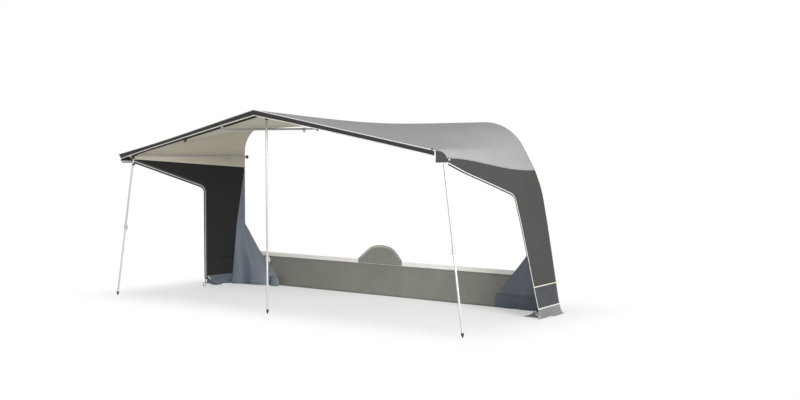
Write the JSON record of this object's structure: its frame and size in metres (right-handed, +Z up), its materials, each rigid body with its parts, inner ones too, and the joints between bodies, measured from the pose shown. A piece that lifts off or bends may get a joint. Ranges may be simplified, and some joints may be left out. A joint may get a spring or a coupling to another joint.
{
  "type": "caravan awning",
  "caption": "Open caravan awning: a gabled canopy on telescopic uprights and rafters, with cut-away side walls, draught skirt and wheel cover.",
  "frame": {"origin": "on the ground, in the middle of the rectangle that the awning covers", "axes": "+X along the wall towards the side with the rounder shoulder, +Y from the open front to the wall that carries the awning, +Z up"},
  "size_m": [6.096, 2.48, 2.605],
  "materials": {
    "roof_cloth": "light grey coated cloth",
    "dark_cloth": "dark grey coated cloth",
    "side_cloth": "dark grey coated cloth",
    "mud_cloth": "slate grey coated cloth",
    "ground_cloth": "pale grey vinyl",
    "flap_cloth": "blue grey coated cloth",
    "skirt_cloth": "olive grey vinyl",
    "white_trim": "white vinyl",
    "steel_tube": "satin",
    "grey_plastic": "moulded",
    "black_plastic": "moulded",
    "black_rubber": "matt",
    "pale_rubber": "matt"
  },
  "bodies": {
    "canopy": {"roof_sheet": "roof_cloth", "rail_bead": "white_trim", "valance": "dark_cloth", "valance_piping": "white_trim", "corner_cap_left": "dark_cloth", "corner_cap_right": "dark_cloth", "side_panel_left": "side_cloth", "side_panel_right": "side_cloth", "side_piping_left": "white_trim", "side_piping_right": "white_trim", "side_hem_left": "dark_cloth", "side_hem_right": "dark_cloth", "mud_wall_left": "mud_cloth", "mud_wall_right": "mud_cloth", "ground_flap_left": "flap_cloth", "ground_flap_right": "ground_cloth", "peg_loop_left": "pale_rubber", "peg_loop_right": "pale_rubber", "draught_flap_left": "flap_cloth", "draught_flap_right": "flap_cloth", "draught_skirt": "skirt_cloth", "skirt_strip": "white_trim", "wheel_cover": "skirt_cloth", "crown_joint": "black_plastic", "left_corner_joint": "black_plastic", "right_corner_joint": "black_plastic", "left_gable_pole_outer_tube": "steel_tube", "left_gable_pole_inner_tube": "steel_tube", "right_gable_pole_outer_tube": "steel_tube", "right_gable_pole_inner_tube": "steel_tube", "left_leg_outer_tube": "steel_tube", "middle_leg_outer_tube": "steel_tube", "right_leg_outer_tube": "steel_tube", "left_leg_clamp": "grey_plastic", "middle_leg_clamp": "grey_plastic", "right_leg_clamp": "grey_plastic", "left_corner_rafter_outer_tube": "steel_tube", "left_middle_rafter_outer_tube": "steel_tube", "ridge_rafter_outer_tube": "steel_tube", "right_middle_rafter_outer_tube": "steel_tube", "right_corner_rafter_outer_tube": "steel_tube"},
    "left_leg": {"left_leg_inner_tube": "steel_tube", "left_leg_foot": "black_rubber"},
    "middle_leg": {"middle_leg_inner_tube": "steel_tube", "middle_leg_foot": "black_rubber"},
    "right_leg": {"right_leg_inner_tube": "steel_tube", "right_leg_foot": "black_rubber"},
    "left_screw": {"left_leg_clamp_screw": "grey_plastic"},
    "middle_screw": {"middle_leg_clamp_screw": "grey_plastic"},
    "right_screw": {"right_leg_clamp_screw": "grey_plastic"},
    "left_corner_rafter": {"left_corner_rafter_inner_tube": "steel_tube", "left_corner_rafter_pad": "black_rubber"},
    "left_middle_rafter": {"left_middle_rafter_inner_tube": "steel_tube", "left_middle_rafter_pad": "black_rubber"},
    "ridge_rafter": {"ridge_rafter_inner_tube": "steel_tube", "ridge_rafter_pad": "black_rubber"},
    "right_middle_rafter": {"right_middle_rafter_inner_tube": "steel_tube", "right_middle_rafter_pad": "black_rubber"},
    "right_corner_rafter": {"right_corner_rafter_inner_tube": "steel_tube", "right_corner_rafter_pad": "black_rubber"}
  },
  "joints": [
    {"name": "left_leg_slide", "type": "slide", "parent": "canopy", "child": "left_leg", "axis": [-0.1914, 0, -0.9815], "range_m": [-0.3, 0.2]},
    {"name": "middle_leg_slide", "type": "slide", "parent": "canopy", "child": "middle_leg", "axis": [0, 0, -1], "range_m": [-0.3, 0.2]},
    {"name": "right_leg_slide", "type": "slide", "parent": "canopy", "child": "right_leg", "axis": [0.13, 0, -0.9915], "range_m": [-0.3, 0.2]},
    {"name": "left_screw_turn", "type": "hinge", "parent": "canopy", "child": "left_screw", "pos_m": [-2.84373, -1.01, 0.9965], "axis": [0.9815, 0, -0.1914], "range_deg": [-180, 180]},
    {"name": "middle_screw_turn", "type": "hinge", "parent": "canopy", "child": "middle_screw", "pos_m": [-0.032, -1.01, 0.697], "axis": [1, 0, 0], "range_deg": [-180, 180]},
    {"name": "right_screw_turn", "type": "hinge", "parent": "canopy", "child": "right_screw", "pos_m": [2.84251, -1.01, 0.95677], "axis": [0, 1, 0], "range_deg": [-180, 180]},
    {"name": "left_corner_rafter_slide", "type": "slide", "parent": "canopy", "child": "left_corner_rafter", "axis": [0.004, 0.9999, -0.0163], "range_m": [-0.25, 0]},
    {"name": "left_middle_rafter_slide", "type": "slide", "parent": "canopy", "child": "left_middle_rafter", "axis": [-0.1363, 0.9903, 0.0261], "range_m": [-0.25, 0]},
    {"name": "ridge_rafter_slide", "type": "slide", "parent": "canopy", "child": "ridge_rafter", "axis": [0, 0.998, -0.0625], "range_m": [-0.25, 0]},
    {"name": "right_middle_rafter_slide", "type": "slide", "parent": "canopy", "child": "right_middle_rafter", "axis": [0.1363, 0.9905, 0.0171], "range_m": [-0.25, 0]},
    {"name": "right_corner_rafter_slide", "type": "slide", "parent": "canopy", "child": "right_corner_rafter", "axis": [-0.1271, 0.9912, -0.0361], "range_m": [-0.25, 0]}
  ]
}
